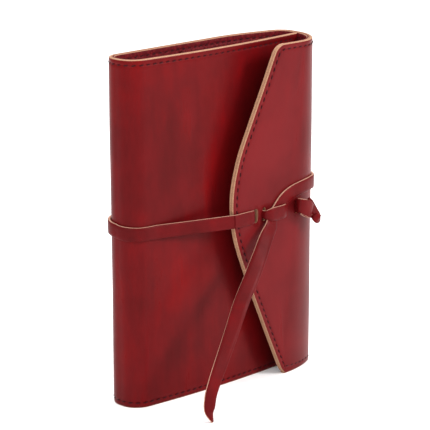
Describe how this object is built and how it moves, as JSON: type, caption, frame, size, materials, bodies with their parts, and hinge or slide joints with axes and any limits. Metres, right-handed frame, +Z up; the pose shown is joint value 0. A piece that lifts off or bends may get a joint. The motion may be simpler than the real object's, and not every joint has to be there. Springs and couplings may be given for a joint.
{
  "type": "pocket notebook",
  "caption": "Leather wrap pocket notebook: hinged front cover, fore-edge flap, threaded lace with hanging tail, and a sewn paper refill.",
  "frame": {"origin": "on the bottom edge of the back cover's outer leather, half way along it, in the plane that the notebook stands on", "axes": "+Z up the height of the book, parallel to the spine; +X from the spine to the fore-edge; -Y out of the front cover and the flap"},
  "size_m": [0.116, 0.0585, 0.165],
  "materials": {
    "outer_leather": "glossy hand-dyed vegetable-tanned leather, dark red with brighter streaks",
    "lining_leather": "finely pebbled dark red leather",
    "thread": "waxed dark burgundy thread",
    "sleeve_leather": "thin smooth dark red leather",
    "card": "plain kraft card",
    "book_cloth": "dark brown book cloth",
    "paper": "cream writing paper",
    "lace_leather": "flat-cut red leather lace with natural tan edges"
  },
  "bodies": {
    "back": {"back_cover": "outer_leather", "back_lining": "lining_leather", "back_thread": "thread", "back_sleeve": "sleeve_leather", "back_card": "card", "section_6": "paper", "lace_back_run": "lace_leather"},
    "spine": {"spine_cover": "outer_leather", "spine_lining": "lining_leather", "spine_thread": "thread", "spine_tape": "book_cloth", "lace_spine_run": "lace_leather"},
    "front": {"front_cover": "outer_leather", "front_lining": "lining_leather", "front_thread": "thread", "front_sleeve": "sleeve_leather", "front_card": "card", "lace_front_run": "lace_leather"},
    "side": {"side_wall": "outer_leather", "side_lining": "lining_leather", "side_thread": "thread", "lace_side_run": "lace_leather"},
    "flap": {"flap": "outer_leather", "flap_lining": "lining_leather", "flap_thread": "thread", "lace_diagonal": "lace_leather", "lace_keeper": "lace_leather", "lace_knot": "lace_leather", "lace_tail": "lace_leather"},
    "leaves_1": {"section_1": "paper"},
    "leaves_2": {"section_2": "paper"},
    "leaves_3": {"section_3": "paper"},
    "leaves_4": {"section_4": "paper"},
    "leaves_5": {"section_5": "paper"}
  },
  "joints": [
    {"name": "cover_open", "type": "hinge", "parent": "back", "child": "spine", "pos_m": [-0.05059, -0.00303, 0.0825], "axis": [0, 0, -1], "range_deg": [0, 90], "deforming": ["lace_tail"]},
    {"name": "front_fold", "type": "hinge", "parent": "spine", "child": "front", "pos_m": [-0.05059, -0.01666, 0.0825], "axis": [0, 0, -1], "range_deg": [0, 90]},
    {"name": "flap_open", "type": "hinge", "parent": "back", "child": "side", "pos_m": [0.05554, -0.00883, 0.0825], "axis": [0, 0, 1], "range_deg": [0, 90]},
    {"name": "flap_fold", "type": "hinge", "parent": "side", "child": "flap", "pos_m": [0.05578, -0.02584, 0.0825], "axis": [0, 0, 1], "range_deg": [0, 90]},
    {"name": "leaf_fan_1", "type": "hinge", "parent": "back", "child": "leaves_1", "pos_m": [-0.0488, -0.0094, 0.0825], "axis": [0, 0, -1], "range_deg": [0, 7.7]},
    {"name": "leaf_fan_2", "type": "hinge", "parent": "back", "child": "leaves_2", "pos_m": [-0.0488, -0.0094, 0.0825], "axis": [0, 0, -1], "range_deg": [0, 6.26]},
    {"name": "leaf_fan_3", "type": "hinge", "parent": "back", "child": "leaves_3", "pos_m": [-0.0488, -0.0094, 0.0825], "axis": [0, 0, -1], "range_deg": [0, 4.82]},
    {"name": "leaf_fan_4", "type": "hinge", "parent": "back", "child": "leaves_4", "pos_m": [-0.0488, -0.0094, 0.0825], "axis": [0, 0, -1], "range_deg": [0, 3.38]},
    {"name": "leaf_fan_5", "type": "hinge", "parent": "back", "child": "leaves_5", "pos_m": [-0.0488, -0.0094, 0.0825], "axis": [0, 0, -1], "range_deg": [0, 1.94]}
  ],
  "couplings": [
    {"joint": "front_fold", "follows": "cover_open", "ratio": 1},
    {"joint": "flap_fold", "follows": "flap_open", "ratio": 1},
    {"joint": "leaf_fan_1", "follows": "cover_open", "ratio": 0.08},
    {"joint": "leaf_fan_2", "follows": "cover_open", "ratio": 0.064},
    {"joint": "leaf_fan_3", "follows": "cover_open", "ratio": 0.048},
    {"joint": "leaf_fan_4", "follows": "cover_open", "ratio": 0.032},
    {"joint": "leaf_fan_5", "follows": "cover_open", "ratio": 0.016}
  ]
}
